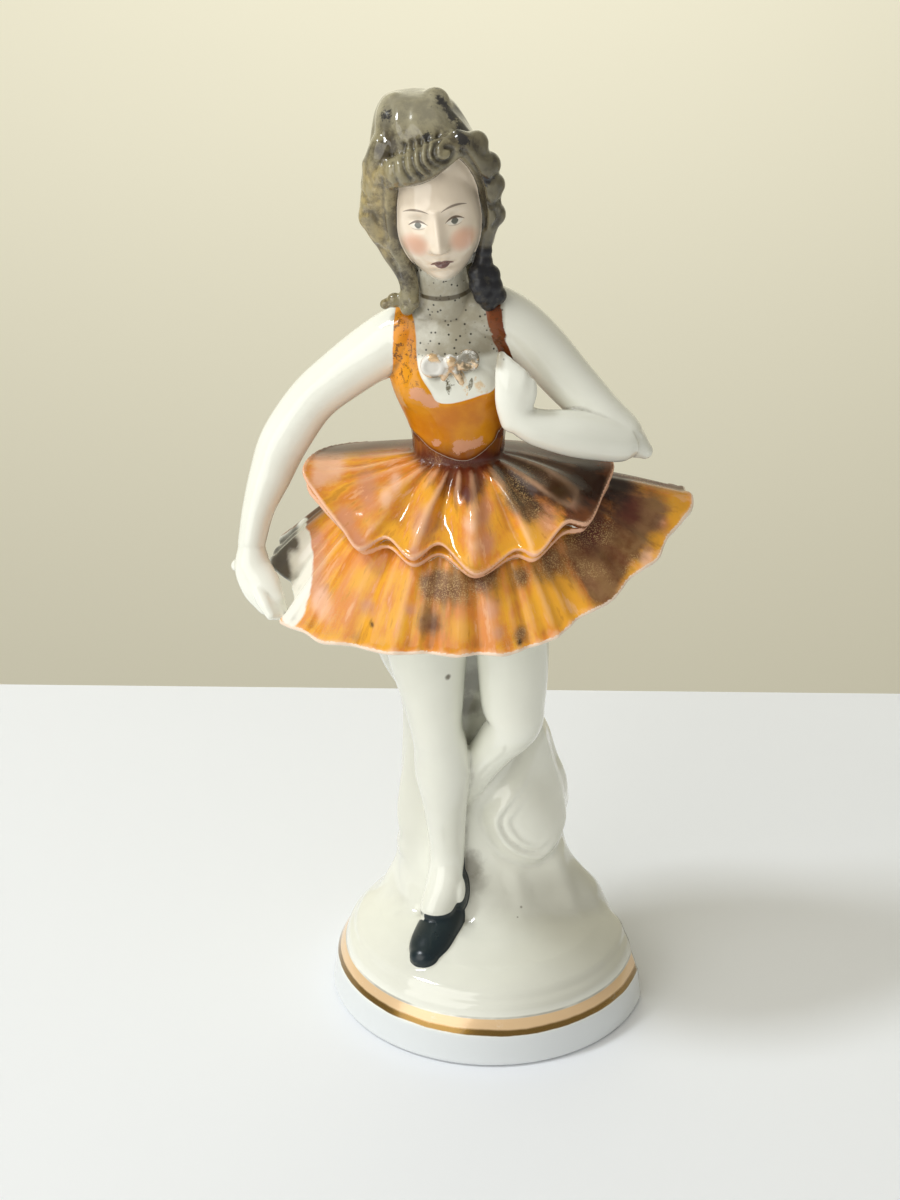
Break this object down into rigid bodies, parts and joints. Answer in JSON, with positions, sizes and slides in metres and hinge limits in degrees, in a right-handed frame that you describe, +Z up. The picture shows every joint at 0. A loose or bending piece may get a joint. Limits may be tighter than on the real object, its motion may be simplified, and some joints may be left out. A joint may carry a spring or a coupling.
{
  "type": "figurine",
  "caption": "Glazed porcelain dancer in a flounced tiered skirt, a hand at the hem and a hand at the chest, with a support behind the legs and a round stepped base with a gold line.",
  "frame": {"origin": "centre of the round base's flat underside", "axes": "+Z up through the figure; the face and the front of the skirt look along -Y; +X is on the viewer's right"},
  "size_m": [0.0734, 0.054, 0.1575],
  "materials": {
    "porcelain": "glossy glaze over white porcelain, painted by hand"
  },
  "bodies": {
    "root": {"ballerina_figurine": "porcelain"}
  },
  "joints": []
}
